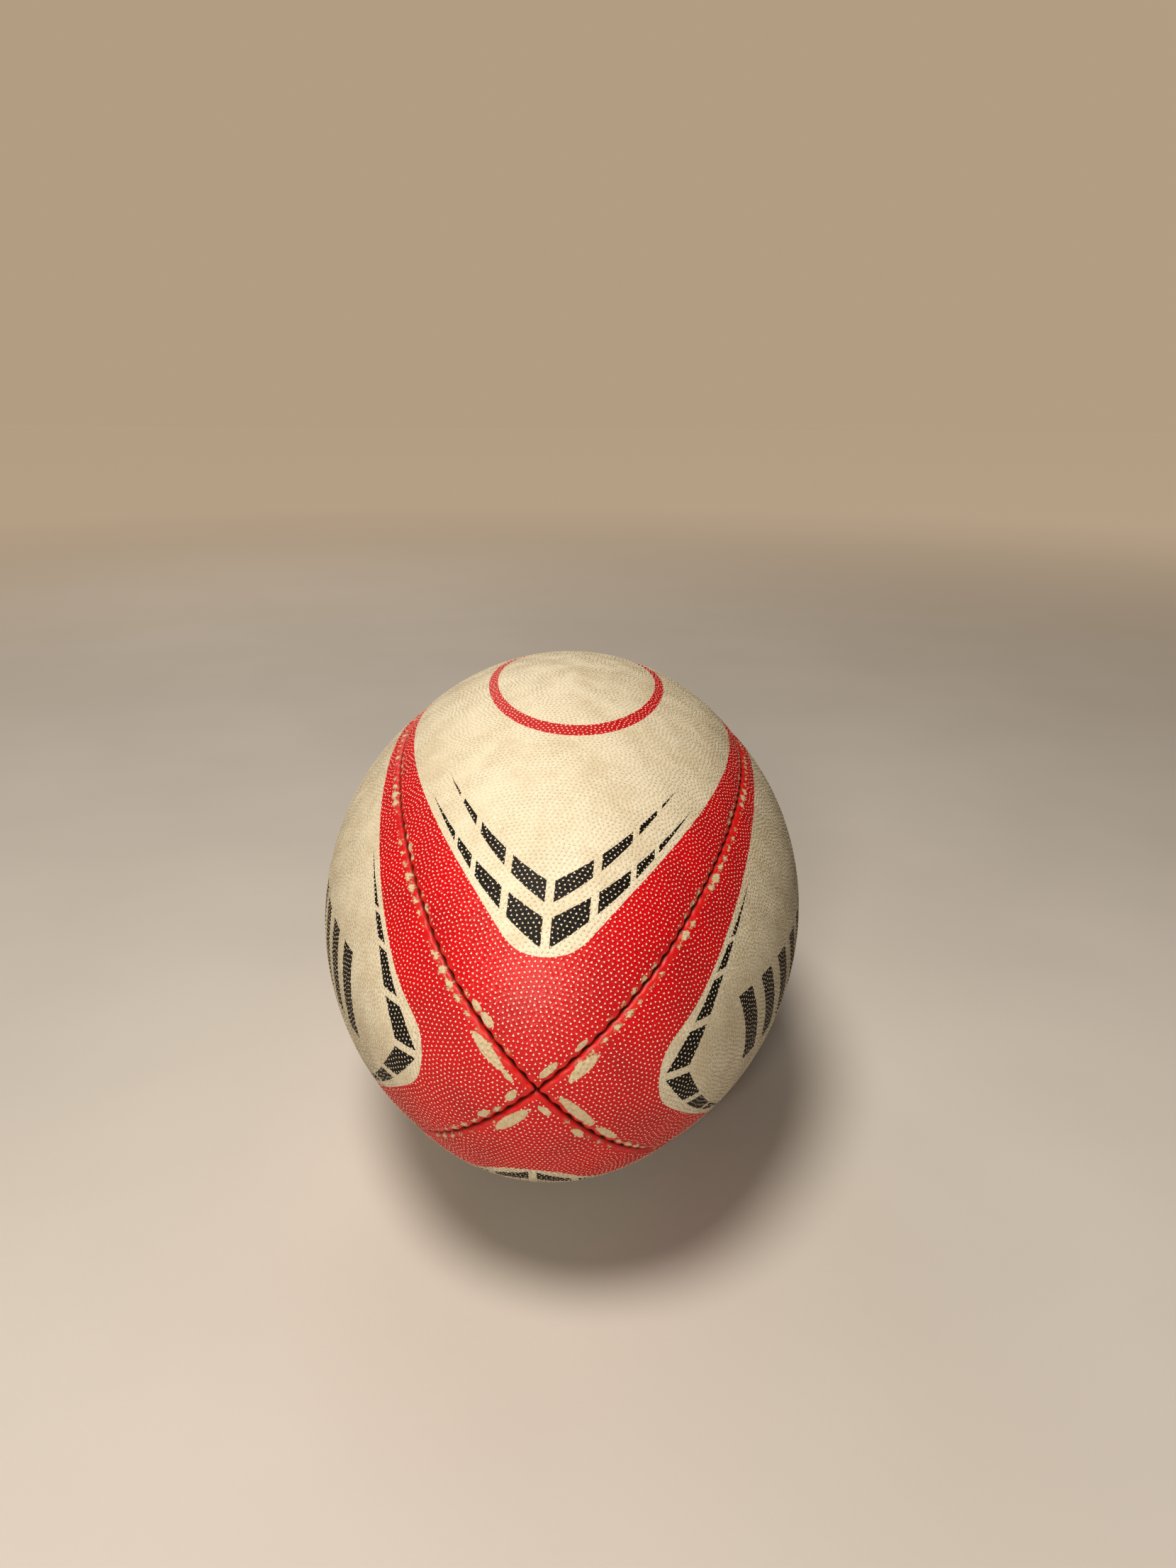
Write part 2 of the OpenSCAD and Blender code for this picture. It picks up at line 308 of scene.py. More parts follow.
def edge_profile(s, side, name):
    """Distances from the seam plane and depths down one rolled edge and its turned-in flange."""
    room = half_width(s)
    roll = roll_radius(s, name)
    thick = np.minimum(FLANGE_T, FLANGE_SHARE * room)
    beat = np.cos((s / STITCH + (0.0 if side > 0 else STITCH_SHIFT)) * math.tau)
    lean = np.sin((s / STITCH + 0.2) * math.tau)
    back = notch(s, side, name)
    deep = np.where((np.abs(s) < FOOT_GAP) & (back.max() > 0), FOOT_FLANGE, FLANGE_DEPTH)
    w, d = [], []
    for step in range(ROLL_STEPS + 1):
        a = step / ROLL_STEPS * math.pi / 2
        sway = (0.12 * beat + 0.22 * side * lean) * math.sin(2 * a) * roll / EDGE_ROLL[name]
        w.append(back + SLIT + (roll - SLIT) * (1 - math.sin(a)) + sway)
        d.append(TALL + edge_sink(s, side * (room - roll), PANELS[name]) + EDGE_DROP * (1 - math.cos(a)))
    for ww, dd in ((SLIT, deep), (SLIT + thick, deep), (SLIT + thick, np.full_like(s, SKIN))):
        w.append(back + ww)
        d.append(dd)
    return np.array(w), np.array(d)


def border(sheet, rails, name):
    """The two rolled edges, flanges and the inside sheet, as rows of points across each rail."""
    panel = PANELS[name]
    sides = []
    for side in (1, -1):
        w, d = edge_profile(rails, side, name)
        cols = [sheet.add(by_seam(rails, side, ww, dd, panel), rails, side * (half_width(rails) - ww))
                for ww, dd in zip(w, d)]
        sides.append((cols, w[-1]))
    right, left = sides
    columns = list(right[0])
    span_r = half_width(rails) - right[1]
    span_l = -(half_width(rails) - left[1])
    for i in range(1, INNER_POINTS):
        t = span_r + (span_l - span_r) * i / INNER_POINTS
        columns.append(sheet.add(on_panel(rails, t, np.full_like(t, SKIN), panel), rails, t))
    columns += left[0][::-1]
    return np.array(columns)


def close_ends(sheet, columns, last):
    """Small lids where the panel comes to a point at each end."""
    points = np.concatenate(sheet.points)
    for row, order, s in ((0, -1, -last), (-1, 1, last)):
        loop = columns[:, row][::order]
        middle = sheet.add(points[loop].mean(0), s, 0)
        sheet.tris(sheet.inner, np.full(len(loop), middle[0]), loop, np.roll(loop, -1))


def rail_places(name, last):
    """Where the rows of mesh along the edges lie, closer together beside the valve."""
    rails = np.linspace(-last, last, int(2 * last / RAIL_STEP))
    if name in ("bottom", "left"):
        by_valve = np.linspace(-FOOT_GAP, FOOT_GAP, FOOT_RAILS)
        rails = np.sort(np.concatenate([rails[np.abs(rails) > FOOT_GAP + 0.3], by_valve]))
    return rails


def panel_sheet(name, left_out=frozenset()):
    """One rubber panel as a closed mesh, pimples outside and smooth inside.

    A pimple squeezed in so tightly that it has no ground of its own is left out, and the panel is made again.
    """
    sheet = Sheet()
    last = HALF_PATH - RAIL_END
    rails = rail_places(name, last)
    columns = border(sheet, rails, name)
    right, left = columns[0], columns[-1]
    feet, places, number = pimples(sheet, name, left_out)
    rail = np.concatenate([right, left[::-1]])
    flat = np.concatenate(sheet.flat)[rail]
    found = triangles(np.concatenate([chart(flat[:, 0], flat[:, 1]), places]), [list(range(len(rail)))])
    owner = np.concatenate([-1 - np.arange(len(rail)), np.tile(np.arange(feet.shape[1]), SIDES)])[found]
    under_pimple = (owner[:, 0] == owner[:, 1]) & (owner[:, 1] == owner[:, 2])
    squeezed = np.setdiff1d(number, number[owner[under_pimple, 0]])
    if len(squeezed):
        return panel_sheet(name, left_out | set(squeezed.tolist()))
    sheet.outer.append(np.concatenate([rail, feet.ravel()])[found[~under_pimple]])
    for j in range(len(columns) - 1):
        group = sheet.outer if j < ROLL_STEPS or j >= len(columns) - 1 - ROLL_STEPS else sheet.inner
        a, b = columns[j], columns[j + 1]
        sheet.quads(group, a[:-1], b[:-1], b[1:], a[1:])
    close_ends(sheet, columns, last)
    return sheet, columns


def bake_map(mesh, sheet, outer_count, columns):
    """A flat, never overlapping map of the panel, laid cornerwise, with its inside in a free corner."""
    s, t = np.concatenate(sheet.flat).T
    along, across = s / HALF_PATH, t * 1.25 / HALF_PATH
    span = columns[ROLL_STEPS:len(columns) - ROLL_STEPS]
    step = np.full(len(s), 0.5)
    for i, ids in enumerate(span):
        step[ids] = i / (len(span) - 1)
    loops = np.empty(len(mesh.loops), int)
    mesh.loops.foreach_get("vertex_index", loops)
    inside = np.repeat(np.arange(len(mesh.polygons)) >= outer_count, 3)
    along = np.where(inside, 0.24 * along[loops], along[loops])
    across = np.where(inside, 0.54 + 0.2 * step[loops], across[loops])
    uv = 0.5 + 0.49 * np.stack([along - across, along + across], 1)
    layer = mesh.uv_layers.new(name="OFBake")
    layer.uv.foreach_set("vector", uv.astype(np.float32).ravel())


def raw_mesh(name, points, faces):
    """A smooth shaded mesh from points in millimetres and faces that all have as many corners."""
    mesh = bpy.data.meshes.new(name)
    mesh.vertices.add(len(points))
    mesh.vertices.foreach_set("co", (points * MM).astype(np.float32).ravel())
    mesh.loops.add(faces.size)
    mesh.loops.foreach_set("vertex_index", faces.astype(np.int32).ravel())
    mesh.polygons.add(len(faces))
    mesh.polygons.foreach_set("loop_start", np.arange(0, faces.size, faces.shape[1], dtype=np.int32))
    mesh.polygons.foreach_set("use_smooth", np.ones(len(faces), bool))
    mesh.update(calc_edges=True)
    return mesh


def attribute(mesh, name, values):
    """Stores one number a vertex, for the materials."""
    mesh.attributes.new(name, "FLOAT", "POINT").data.foreach_set("value", np.asarray(values, np.float32))


def place(mesh, name, material, slot, *nodes):
    """Puts a mesh in the scene on the ball's body, in place of its CAD nodes."""
    ob = bpy.data.objects.new(name, mesh)
    bpy.context.scene.collection.objects.link(ob)
    mesh.materials.append(material)
    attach(ob, "ball")
    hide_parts(*nodes)
    return ob


def panel_skin(name, material, slot):
    """A panel in the scene, with its flat places, pimples and wear stored for the print."""
    sheet, columns = panel_sheet(name)
    outer, inner = np.concatenate(sheet.outer), np.concatenate(sheet.inner)
    mesh = raw_mesh(name + "_panel", np.concatenate(sheet.points), np.concatenate([outer, inner]))
    s, t = np.concatenate(sheet.flat).T
    attribute(mesh, "pimple", np.concatenate(sheet.tops))
    attribute(mesh, "seam", half_width(s) - np.abs(t))
    attribute(mesh, "worn", worn_spots(s, t, name))
    attribute(mesh, "flat_s", s)
    attribute(mesh, "flat_t", t)
    bake_map(mesh, sheet, len(outer), columns)
    return place(mesh, name + "_panel", material, slot, name + "_panel_skin")


# ---------------------------------------------------------------- cloth plies

PLY_GAP, PLY_END = 0.25, 4.0        # from the flange, and from the panel's point
PLIES = {"polyester": (0.02, 0.50), "cotton": (0.52, 0.90)}     # depths of the two faces under the skin


def ply(name, kind, material, slot):
    """A smooth closed sheet of cloth that follows the crowned panel."""
    panel = PANELS[name]
    edge, last = FLANGE_T + PLY_GAP, HALF_PATH - PLY_END
    s_line, across = np.linspace(-last, last, 121), np.linspace(-1, 1, 41)
    s, u = np.meshgrid(s_line, across, indexing="ij")
    t = u * (half_width(s) - edge)
    for side, who in ((1, "bottom"), (-1, "left")):
        if name == who:
            back = notch(s, side, name)
            t = np.where(t * side > half_width(s) - edge - back, side * (half_width(s) - edge - back), t)
    top, low = (on_panel(s, t, np.full_like(s, SKIN + d), panel).reshape(-1, 3) for d in PLIES[kind])
    ids = np.arange(s.size).reshape(s.shape)
    face = lambda g, h, i, j: np.stack([g, h, i, j], -1).reshape(-1, 4)
    outside = face(ids[:-1, :-1], ids[:-1, 1:], ids[1:, 1:], ids[1:, :-1])
    rim = np.concatenate([ids[0, :], ids[1:, -1], ids[-1, -2::-1], ids[-2:0:-1, 0]])
    after = np.roll(rim, -1)
    wall = face(rim + s.size, after + s.size, after, rim)
    mesh = raw_mesh(f"{name}_{kind}_sheet", np.concatenate([top, low]),
                    np.concatenate([outside, outside[:, ::-1] + s.size, wall]))
    attribute(mesh, "flat_s", np.concatenate([s.ravel()] * 2))
    attribute(mesh, "flat_t", np.concatenate([t.ravel()] * 2))
    return place(mesh, f"{name}_{kind}_sheet", material, slot, f"{name}_{kind}_ply")


# ---------------------------------------------------------------- materials

class Nodes:
    """A short way to write node trees."""

    def __init__(self, name):
        self.material = bpy.data.materials.new(name)
        self.material.use_nodes = True
        self.tree = self.material.node_tree
        self.bsdf = self.tree.nodes["Principled BSDF"]

    def new(self, kind, **values):
        node = self.tree.nodes.new(kind)
        for key, value in values.items():
            setattr(node, key, value)
        return node

    def feed(self, socket, value):
        if isinstance(value, bpy.types.NodeSocket):
            self.tree.links.new(value, socket)
        elif isinstance(value, tuple) and len(value) == 3 and socket.type == "RGBA":
            socket.default_value = (*value, 1.0)
        else:
            socket.default_value = value

    def attr(self, name):
        return self.new("ShaderNodeAttribute", attribute_name=name).outputs["Fac"]

    def math(self, operation, a, b=0.0, clamp=False):
        node = self.new("ShaderNodeMath", operation=operation, use_clamp=clamp)
        self.feed(node.inputs[0], a)
        self.feed(node.inputs[1], b)
        return node.outputs[0]

    def step(self, value, low, high, to_low=0.0, to_high=1.0):
        node = self.new("ShaderNodeMapRange", interpolation_type="SMOOTHSTEP")
        names = ("Value", "From Min", "From Max", "To Min", "To Max")
        for key, v in zip(names, (value, low, high, to_low, to_high)):
            self.feed(node.inputs[key], v)
        return node.outputs[0]

    def least(self, *values):
        return functools.reduce(lambda a, b: self.math("MINIMUM", a, b), values)

    def most(self, *values):
        return functools.reduce(lambda a, b: self.math("MAXIMUM", a, b), values)

    def curve(self, x, start, slope, bend):
        """start + slope x + bend x squared."""
        inner = self.math("ADD", self.math("MULTIPLY", x, bend), slope)
        return self.math("ADD", self.math("MULTIPLY", x, inner), start)

    def mix(self, factor, a, b, blend="MIX"):
        node = self.new("ShaderNodeMix", data_type="RGBA", blend_type=blend)
        self.feed(node.inputs[0], factor)
        self.feed(node.inputs[6], a)
        self.feed(node.inputs[7], b)
        return node.outputs[2]

    def place(self, scale=1.0, stretch=(1, 1, 1)):
        coord = self.new("ShaderNodeTexCoord").outputs["Object"]
        node = self.new("ShaderNodeMapping")
        self.feed(node.inputs["Vector"], coord)
        node.inputs["Scale"].default_value = tuple(scale * v for v in stretch)
        return node.outputs[0]

    def flat(self, scale=1.0):
        node = self.new("ShaderNodeCombineXYZ")
        self.feed(node.inputs[0], self.math("MULTIPLY", self.attr("flat_t"), scale))
        self.feed(node.inputs[1], self.math("MULTIPLY", self.attr("flat_s"), scale))
        return node.outputs[0]

    def noise(self, vector, scale, detail=3.0, rough=0.5):
        node = self.new("ShaderNodeTexNoise")
        self.feed(node.inputs["Vector"], vector)
        for key, v in (("Scale", scale), ("Detail", detail), ("Roughness", rough)):
            node.inputs[key].default_value = v
        return node.outputs["Fac"]

    def bump(self, height, distance, strength=1.0, normal=None):
        node = self.new("ShaderNodeBump")
        node.inputs["Distance"].default_value = distance
        node.inputs["Strength"].default_value = strength
        self.feed(node.inputs["Height"], height)
        if normal is not None:
            self.feed(node.inputs["Normal"], normal)
        return node.outputs[0]

    def set(self, **values):
        for key, value in values.items():
            self.feed(self.bsdf.inputs[key.replace("_", " ")], value)
        return self.material


# print: the pale field's tip and half widths, the rows of blocks (two edges and the spans across), the bars
# and the ring
TIP, TIP_ROUND = 41.0, 12.0
FIELD_FROM, FIELD_START, FIELD_HALF, FIELD_FILL = 38.0, 5.75, 67.6, 0.96
OUTER_ROW = ((42.9, 0.684, 0.0177), (52.6, 0.561, 0.0159),
             ((1.35, 12.8), (15.3, 25.2), (27.1, 33.2), (34.7, 60.0)))
INNER_ROW = ((57.3, 0.632, 0.0219), (64.9, 0.594, 0.0182),
             ((1.35, 12.8), (15.4, 25.0), (27.1, 33.1), (34.9, 60.0)))
BAR_PERIOD, BAR_WIDE, BAR_TALL, BAR_SLANT, BAR_COUNT = 17.0, 9.5, 29.0, 0.3, 13
RING_LONG, RING_WIDE, RING_LINE = 58.0, 33.0, 5.0

# how far each panel's print is off its middle line, and out towards the ends
PRINT_OFF = {"top": (-1.05, 0.0), "right": (-0.4, 2.4), "bottom": (0.5, 0.8), "left": (1.1, 2.4)}

CREAM, CREAM_OLD = (0.74, 0.68, 0.53), (0.64, 0.56, 0.41)
# the third colour is painted shade, laid in a ring round each pimple's foot
STAIN, SPECK, PIMPLE_FOOT_SHADE = (0.42, 0.36, 0.26), (0.28, 0.19, 0.10), (0.30, 0.25, 0.17)
RED, RED_DEEP, RED_RUBBED = (0.60, 0.004, 0.012), (0.50, 0.006, 0.014), (0.64, 0.030, 0.018)
SCORCHED = (0.42, 0.10, 0.04)
BLACK = (0.012, 0.011, 0.010)
BARE_TOP, BARE_TOP_OLD = (0.88, 0.78, 0.60), (0.70, 0.54, 0.36)
CHIP, TAN = (0.62, 0.52, 0.36), (0.52, 0.42, 0.26)
# painted shade: near black laid along the seam groove, where the gap between panels lies in shadow
SEAM_GROOVE_SHADE = (0.04, 0.022, 0.014)

# noise patterns: scale per millimetre, detail and roughness
MOTTLE, STAINS, SPECKS = (0.05, 5, 0.7), (0.02, 6, 0.75), (0.55, 4, 0.75)
RAGGED_CHIP, RAGGED_SPOT = (0.75, 6, 0.8), (0.7, 5, 0.7)
# half width of the band a print edge fades over, and how much the edge wanders
INK_EDGE, INK_WANDER = 0.09, 0.5
# where wear is greatest, from the seam, and how worn a place must be to chip
SIDE_WEAR, TOP_WEAR = (2.0, 0.62), (1.5, 0.84)


def field(n, e, p):
    """Signed distance into the pale leaf-shaped field, e from the end and p from the print's middle line."""
    turn = n.math("MULTIPLY", n.math("SUBTRACT", e, FIELD_FROM), math.pi / 2 / (HALF_PATH - FIELD_FROM))
    rise = n.math("POWER", n.math("SINE", turn), FIELD_FILL)
    half = n.math("ADD", n.math("MULTIPLY", rise, FIELD_HALF - FIELD_START), FIELD_START)
    beside = n.math("MULTIPLY", n.math("SUBTRACT", half, p), 0.85)
    soft = n.new("ShaderNodeMath", operation="SMOOTH_MIN")
    for socket, value in zip(soft.inputs, (beside, n.math("SUBTRACT", e, TIP), TIP_ROUND)):
        n.feed(socket, value)
    return soft.outputs[0]


def dashes(n, e, p, outer, inner, blocks):
    """Signed distance into a row of blocks that follows the field's edge."""
    across = n.least(n.math("SUBTRACT", e, n.curve(p, *outer)), n.math("SUBTRACT", n.curve(p, *inner), e))
    across = n.math("MULTIPLY", across, 0.6)
    spans = [n.least(n.math("SUBTRACT", p, low), n.math("SUBTRACT", high, p)) for low, high in blocks]
    return n.least(across, n.most(*spans))


def slanted_bars(n, s, t):
    """A plain run of slanted bars along the middle of a side panel."""
    u = n.math("SUBTRACT", s, n.math("MULTIPLY", t, BAR_SLANT))
    near = n.math("ABSOLUTE", wrap(n, u, BAR_PERIOD))
    return n.least(n.math("SUBTRACT", BAR_WIDE / 2, near),
                   n.math("SUBTRACT", BAR_TALL / 2, n.math("ABSOLUTE", t)),
                   n.math("SUBTRACT", BAR_PERIOD * BAR_COUNT / 2, n.math("ABSOLUTE", u)))


def wrap(n, value, period):
    """Distance from the nearest multiple of the period."""
    node = n.new("ShaderNodeMath", operation="WRAP")
    for socket, v in zip(node.inputs, (value, period / 2, -period / 2)):
        n.feed(socket, v)
    return node.outputs[0]


def oval_ring(n, s, t):
    """A plain oval ring in the middle of a pale panel."""
    x = n.math("POWER", n.math("ABSOLUTE", n.math("DIVIDE", s, RING_LONG)), 2.0)
    y = n.math("POWER", n.math("ABSOLUTE", n.math("DIVIDE", t, RING_WIDE)), 2.0)
    off = n.math("ABSOLUTE", n.math("SUBTRACT", n.math("SQRT", n.math("ADD", x, y)), 1.0))
    return n.math("SUBTRACT", RING_LINE / 2, n.math("MULTIPLY", off, (RING_LONG + RING_WIDE) / 2))


def centred(n, where, pattern, size):
    """Noise between minus and plus half of size, roughly."""
    return n.math("MULTIPLY", n.math("SUBTRACT", n.noise(where, *pattern), 0.5), size)


def pale_rubber(n, where, pimple):
    """Cream gone tan in clouds, with stains and specks, and painted shade ringed round the pimple feet."""
    cream = n.mix(n.step(n.noise(where, *MOTTLE), 0.40, 0.70), CREAM, CREAM_OLD)
    cream = n.mix(n.step(n.noise(where, *STAINS), 0.54, 0.72, 0.0, 0.4), cream, STAIN)
    cream = n.mix(n.step(n.noise(where, *SPECKS), 0.64, 0.74, 0.0, 0.55), cream, SPECK)
    # painted shade: a darker ring low on each pimple's flank, round its foot
    ring = n.math("MULTIPLY", n.step(pimple, 0.02, 0.15), n.step(pimple, 0.3, 0.5, 1.0, 0.0))
    ring = n.math("MULTIPLY", ring, n.step(n.noise(where, 0.09, 3), 0.35, 0.6, 0.4, 0.9))
    return n.mix(ring, cream, PIMPLE_FOOT_SHADE)


def ink_areas(n, where, s, e, p_t, side_panel):
    """How far each point is in the pale field, in the black print and in the red ring."""
    p = n.math("ABSOLUTE", p_t)
    wobble = centred(n, where, (1.3, 2), INK_WANDER)
    soft = lambda v: n.step(n.math("ADD", v, wobble), -INK_EDGE, INK_EDGE)
    black = dashes(n, e, p, *OUTER_ROW)
    if side_panel:
        return soft(field(n, e, p)), soft(n.most(black, slanted_bars(n, s, p_t))), 0.0
    return soft(field(n, e, p)), soft(n.most(black, dashes(n, e, p, *INNER_ROW))), soft(oval_ring(n, s, p_t))


def bare_tops(n, where, pimple, inked, printed):
    """The ink is gone from the top of every pimple."""
    ragged = n.math("ADD", pimple, centred(n, where, (1.9, 2), 0.2))
    bare = n.math("MULTIPLY", n.step(ragged, 0.42, 0.50), inked)
    tone = n.mix(n.step(n.noise(where, 0.3, 3, 0.6), 0.4, 0.7), BARE_TOP, BARE_TOP_OLD)
    return n.mix(bare, printed, tone)


def rubbed(n, where, seam, line, inked, printed):
    """Ink worn thin along the seam's rolled edge."""
    close = n.step(seam, line - 0.4, line + 1.6, 1.0, 0.0)
    patchy = n.step(n.noise(where, 0.12, 5, 0.7), 0.34, 0.55)
    rub = n.math("MULTIPLY", n.math("MULTIPLY", close, patchy), inked)
    return n.mix(n.math("MULTIPLY", rub, 0.5), printed, RED_RUBBED)


def wear_by_seam(n, where, s, seam, end, line):
    """How worn the edge is: a beat at every stitch, patchy and ragged, and less near the ball's points."""
    beads = n.math("SINE", n.math("ADD", n.math("MULTIPLY", s, math.tau / STITCH), n.noise(where, 0.2, 2)))
    off_line = n.math("ABSOLUTE", n.math("SUBTRACT", seam, line))
    near = n.math("SUBTRACT", 1.0, n.math("MULTIPLY", off_line, 0.75))
    wear = n.math("ADD", n.math("MULTIPLY", beads, 0.28), n.math("MULTIPLY", near, 0.6))
    wear = n.math("ADD", wear, centred(n, where, (0.06, 3), 2.6))
    wear = n.math("ADD", wear, centred(n, where, RAGGED_CHIP, 3.2))
    return n.math("SUBTRACT", wear, n.step(end, 8, 18, 0.7, 0.0))


def chipped(n, where, wear, limit, inked, printed):
    """Chips down to pale rubber with scorched rims, and the larger worn spots; also says where they are."""
    rims = n.math("MULTIPLY", n.step(wear, limit - 0.25, limit), inked)
    printed = n.mix(n.math("MULTIPLY", rims, 0.6), printed, SCORCHED)
    spots = n.step(n.math("ADD", n.attr("worn"), centred(n, where, RAGGED_SPOT, 1.6)), 0.0, 0.16)
    chips = n.most(n.math("MULTIPLY", n.step(wear, limit, limit + 0.12), inked), spots)
    tone = n.mix(n.step(n.noise(where, 0.5, 4, 0.7), 0.35, 0.7), CHIP, TAN)
    return n.mix(chips, printed, tone), chips


def rubber_gloss(n, where, in_field, in_ink, chips):
    """Roughness, shine and fine grain: the red ink is glossiest, the bare rubber dullest."""
    rough = n.mix(in_field, (0.40,) * 3, (0.50,) * 3)
    rough = n.mix(chips, rough, (0.72,) * 3)
    rough = n.mix(n.math("MULTIPLY", n.noise(where, 0.4, 4), 0.3), rough, (0.62,) * 3)
    grain = n.math("ADD", n.noise(where, 2.6, 4, 0.6), n.math("MULTIPLY", chips, -0.8))
    shine = n.math("SUBTRACT", 0.5, n.math("MULTIPLY", in_ink, 0.3))
    return dict(Roughness=rough, Specular_IOR_Level=shine, Normal=n.bump(grain, 0.00012, 0.5))


def printed_rubber(name, side_panel, print_off, print_near):
    """Pale rubber printed red and black, with pale pimple tops, worn edges and stains, and painted shade
    round the pimple feet and in the seam groove.
    """
    n = Nodes(name)
    where, pimple, seam = n.flat(), n.attr("pimple"), n.attr("seam")
    s, t = n.attr("flat_s"), n.attr("flat_t")
    end = n.math("SUBTRACT", HALF_PATH, n.math("ABSOLUTE", s))
    e, p_t = n.math("ADD", end, print_near), n.math("SUBTRACT", t, print_off)
    in_field, in_ink, in_ring = ink_areas(n, where, s, e, p_t, side_panel)
    inked = n.most(n.math("SUBTRACT", 1.0, in_field), in_ink, in_ring)

    red = n.mix(n.step(n.noise(where, 0.05, 4), 0.35, 0.7), RED, RED_DEEP)
    printed = n.mix(in_field, red, pale_rubber(n, where, pimple))
    printed = n.mix(in_ring, n.mix(in_ink, printed, BLACK), RED_DEEP)
    printed = bare_tops(n, where, pimple, inked, printed)

    line, limit = SIDE_WEAR if side_panel else TOP_WEAR
    printed = rubbed(n, where, seam, line, inked, printed)
    wear = wear_by_seam(n, where, s, seam, end, line)
    printed, chips = chipped(n, where, wear, limit, inked, printed)
    # painted shade darkens the seam groove, within 0.75 mm of the seam
    printed = n.mix(n.step(seam, 0.1, 0.75, 0.85, 0.0), printed, SEAM_GROOVE_SHADE)
    return n.set(Base_Color=printed, **rubber_gloss(n, where, in_field, in_ink, chips))


def woven(name, light, dark, per_mm, twist=0.35):
    """Plain weave cloth, laid along the panel."""
    n = Nodes(name)
    wave = lambda axis: n.math("SINE", n.math("MULTIPLY", n.attr(axis), math.tau * per_mm))
    warp, weft = wave("flat_s"), wave("flat_t")
    over = n.step(n.math("MULTIPLY", warp, weft), -0.4, 0.4)
    fuzz = n.noise(n.flat(), 3.5, 4, 0.7)
    colour = n.mix(n.math("ADD", n.math("MULTIPLY", over, 0.7), n.math("MULTIPLY", fuzz, twist)), dark, light)
    height = n.math("ADD", n.math("ABSOLUTE", warp), n.math("ABSOLUTE", weft))
    return n.set(Base_Color=colour, Roughness=n.step(fuzz, 0.3, 0.7, 0.75, 0.92),
                 Normal=n.bump(height, 0.0001, 0.7))


def plain_weave_in_space(name, light, dark):
    """Cloth for a small patch that has no flat layout of its own."""
    n = Nodes(name)
    spot = n.place(2400.0)
    checker = n.new("ShaderNodeTexChecker")
    n.feed(checker.inputs["Vector"], spot)
    checker.inputs["Scale"].default_value = 1.0
    fuzz = n.noise(n.place(1000), 3, 4, 0.7)
    colour = n.mix(n.math("MULTIPLY", checker.outputs["Fac"], fuzz), light, dark)
    return n.set(Base_Color=colour, Roughness=0.88, Normal=n.bump(checker.outputs["Fac"], 0.00008, 0.6))


def soft_rubber(name, light, dark, rough, grain=1400.0):
    """Moulded rubber with faint bloom and fine grain."""
    n = Nodes(name)
    bloom = n.noise(n.place(60), 3, 5, 0.65)
    fine = n.noise(n.place(grain), 1.0, 4, 0.6)
    colour = n.mix(n.step(bloom, 0.35, 0.7), dark, light)
    return n.set(Base_Color=colour, Roughness=n.step(fine, 0.3, 0.7, rough - 0.08, rough + 0.1),
                 Normal=n.bump(n.math("ADD", fine, n.math("MULTIPLY", bloom, 0.5)), 0.00008, 0.5))


def waxed_thread():
    """Twisted thread under wax: fine slanting strands and a soft shine."""
    n = Nodes("waxed_thread")
    wave = n.new("ShaderNodeTexWave", wave_type="BANDS", bands_direction="DIAGONAL")
    n.feed(wave.inputs["Vector"], n.place(1000))
    wave.inputs["Scale"].default_value = 1.6
    wave.inputs["Distortion"].default_value = 0.6
    colour = n.mix(wave.outputs["Fac"], (0.55, 0.46, 0.30), (0.86, 0.79, 0.62))
    return n.set(Base_Color=colour, Roughness=n.step(wave.outputs["Fac"], 0, 1, 0.62, 0.42),
                 Normal=n.bump(wave.outputs["Fac"], 0.00008, 0.7))


def paint(node, material):
    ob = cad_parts[node]
    ob.data.materials.clear()
    ob.data.materials.append(material)


# ---------------------------------------------------------------- stage

BACKDROP = (0.40, 0.31, 0.22)


def pale_floor():
    """A plain pale floor that fades into the backdrop's own glow far from the ball."""
    n = Nodes("pale_floor")
    tone = n.noise(n.place(4), 1.5, 3)
    weave = n.noise(n.place(900), 1, 3)
    colour = n.mix(n.step(tone, 0.3, 0.7), (0.58, 0.555, 0.525), (0.61, 0.585, 0.555))
    away = n.new("ShaderNodeVectorMath", operation="LENGTH")
    n.feed(away.inputs[0], n.place())
    far = n.step(away.outputs["Value"], 0.25, 2.4)
    n.set(Base_Color=n.mix(far, colour, (0.12, 0.115, 0.11)), Roughness=0.8, Specular_IOR_Level=0.1,
          Normal=n.bump(weave, 0.0002, 0.15), Emission_Color=BACKDROP, Emission_Strength=far)
    mesh = bpy.data.meshes.new("floor")
    floor = -HALF_MIDDLE * MM
    mesh.from_pydata([(x, y, floor) for x, y in ((-6, -6), (6, -6), (6, 6), (-6, 6))], [], [(0, 1, 2, 3)])
    mesh.materials.append(n.material)
    ob = bpy.data.objects.new("floor", mesh)
    bpy.context.scene.collection.objects.link(ob)


def backdrop():
    """A warm pale surround that is seen all round but hardly lights the ball."""
    world = bpy.data.worlds.new("world")
    bpy.context.scene.world = world
    world.use_nodes = True
    tree = world.node_tree
    background, path = tree.nodes["Background"], tree.nodes.new("ShaderNodeLightPath")
    seen = tree.nodes.new("ShaderNodeMapRange")
    seen.inputs["To Min"].default_value, seen.inputs["To Max"].default_value = 0.06, 1.0
    tree.links.new(path.outputs["Is Camera Ray"], seen.inputs["Value"])
    tree.links.new(seen.outputs[0], background.inputs["Strength"])
    background.inputs["Color"].default_value = (*BACKDROP, 1)


def light(name, place, aim, size, power, colour):
    data = bpy.data.lights.new(name, "AREA")
    data.shape, data.size, data.energy, data.color = "DISK", size, power, colour
    ob = bpy.data.objects.new(name, data)
    ob.location = place
    ob.rotation_euler = (Vector(aim) - Vector(place)).to_track_quat("-Z", "Y").to_euler()
    bpy.context.scene.collection.objects.link(ob)


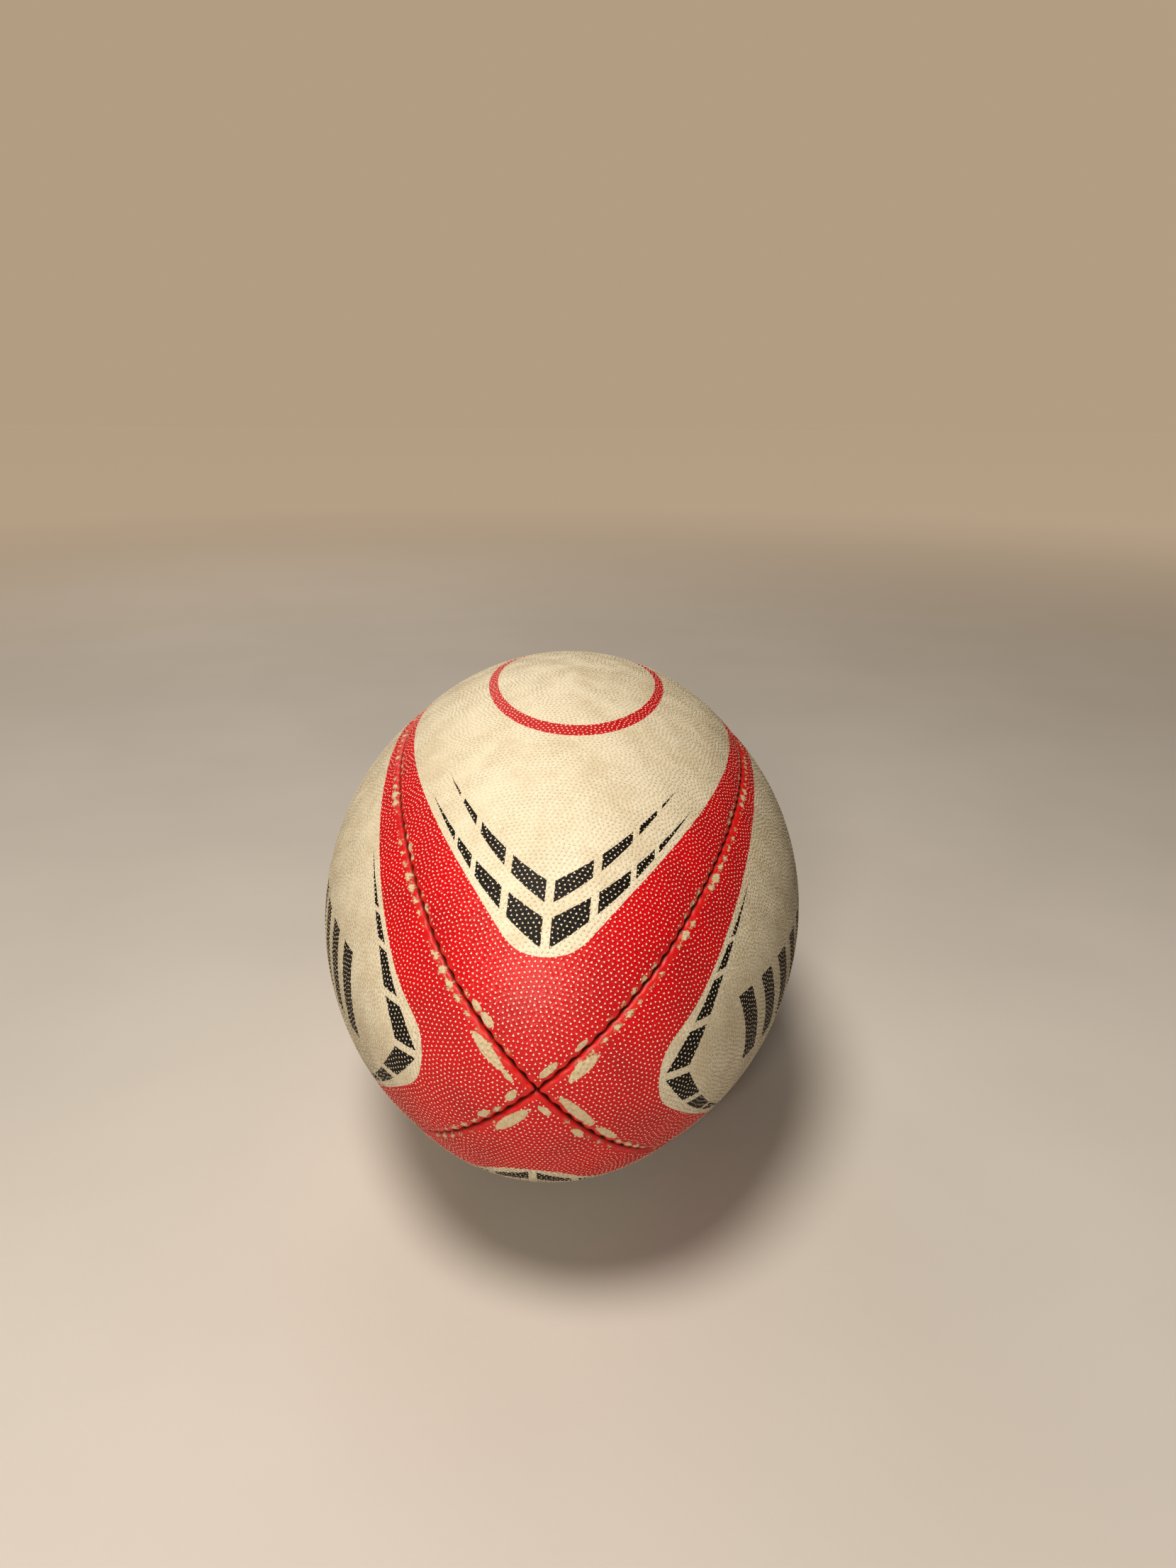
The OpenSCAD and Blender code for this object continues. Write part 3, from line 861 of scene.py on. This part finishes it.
def lights():
    light("front", (-0.10, -0.82, 0.34), (0, -0.05, 0), 0.14, 3.0, (1.0, 0.90, 0.78))
    light("over", (-0.25, -0.45, 1.45), (0, 0, 0), 0.55, 17.5, (1.0, 0.91, 0.80))
    light("back", (-0.60, 1.40, 0.90), (0, 0, 0), 0.90, 5, (1.0, 0.92, 0.82))


def colours():
    """Strong, contrasty colours, without a film-like curve that would wash out the red."""
    bpy.context.scene.view_settings.view_transform = "Standard"
    bpy.context.scene.view_settings.look = "Medium High Contrast"


def camera():
    """Low, close and slightly wide, looking down the ball's long axis."""
    data = bpy.data.cameras.new("camera")
    data.lens, data.sensor_width, data.sensor_fit = 26.0, 36.0, "AUTO"
    ob = bpy.data.objects.new("camera", data)
    yaw, pitch, tilt = (math.radians(v) for v in (-2.28, -20.06, 0.3))
    look = Vector((math.sin(yaw) * math.cos(pitch), math.cos(yaw) * math.cos(pitch), math.sin(pitch)))
    ob.rotation_mode = "QUATERNION"
    ob.rotation_quaternion = look.to_track_quat("-Z", "Y") @ Matrix.Rotation(tilt, 3, "Z").to_quaternion()
    ob.location = (0.0264, -0.4337, 0.2046)
    data.clip_start = 0.01
    bpy.context.scene.collection.objects.link(ob)
    bpy.context.scene.camera = ob


# ---------------------------------------------------------------- the whole ball

def build_ball():
    polyester = woven("polyester_cloth", (0.72, 0.74, 0.77), (0.45, 0.47, 0.50), 0.9)
    cotton = woven("cotton_cloth", (0.74, 0.64, 0.44), (0.48, 0.38, 0.22), 0.7)
    for name in PANELS:
        slot = "skin_cream" if name in ("top", "bottom") else "skin_red"
        rubber = printed_rubber(f"{name}_rubber", name in ("left", "right"), *PRINT_OFF[name])
        panel_skin(name, rubber, slot)
        ply(name, "polyester", polyester, "polyester_cloth")
        ply(name, "cotton", cotton, "cotton_cloth")
    thread = waxed_thread()
    for seam in ("upper_left", "upper_right", "lower_right", "lower_left"):
        paint(seam + "_seam_thread", thread)
    paint("bladder", soft_rubber("bladder_rubber", (0.60, 0.47, 0.24), (0.42, 0.31, 0.14), 0.45))
    paint("valve_body", soft_rubber("valve_rubber", (0.030, 0.028, 0.026), (0.012, 0.012, 0.012), 0.5))
    paint("valve_plug", soft_rubber("plug_rubber", (0.060, 0.057, 0.052), (0.025, 0.024, 0.022), 0.62))
    paint("valve_patch", plain_weave_in_space("patch_cloth", (0.80, 0.76, 0.66), (0.55, 0.50, 0.40)))


build_ball()
pale_floor()
backdrop()
lights()
camera()
colours()
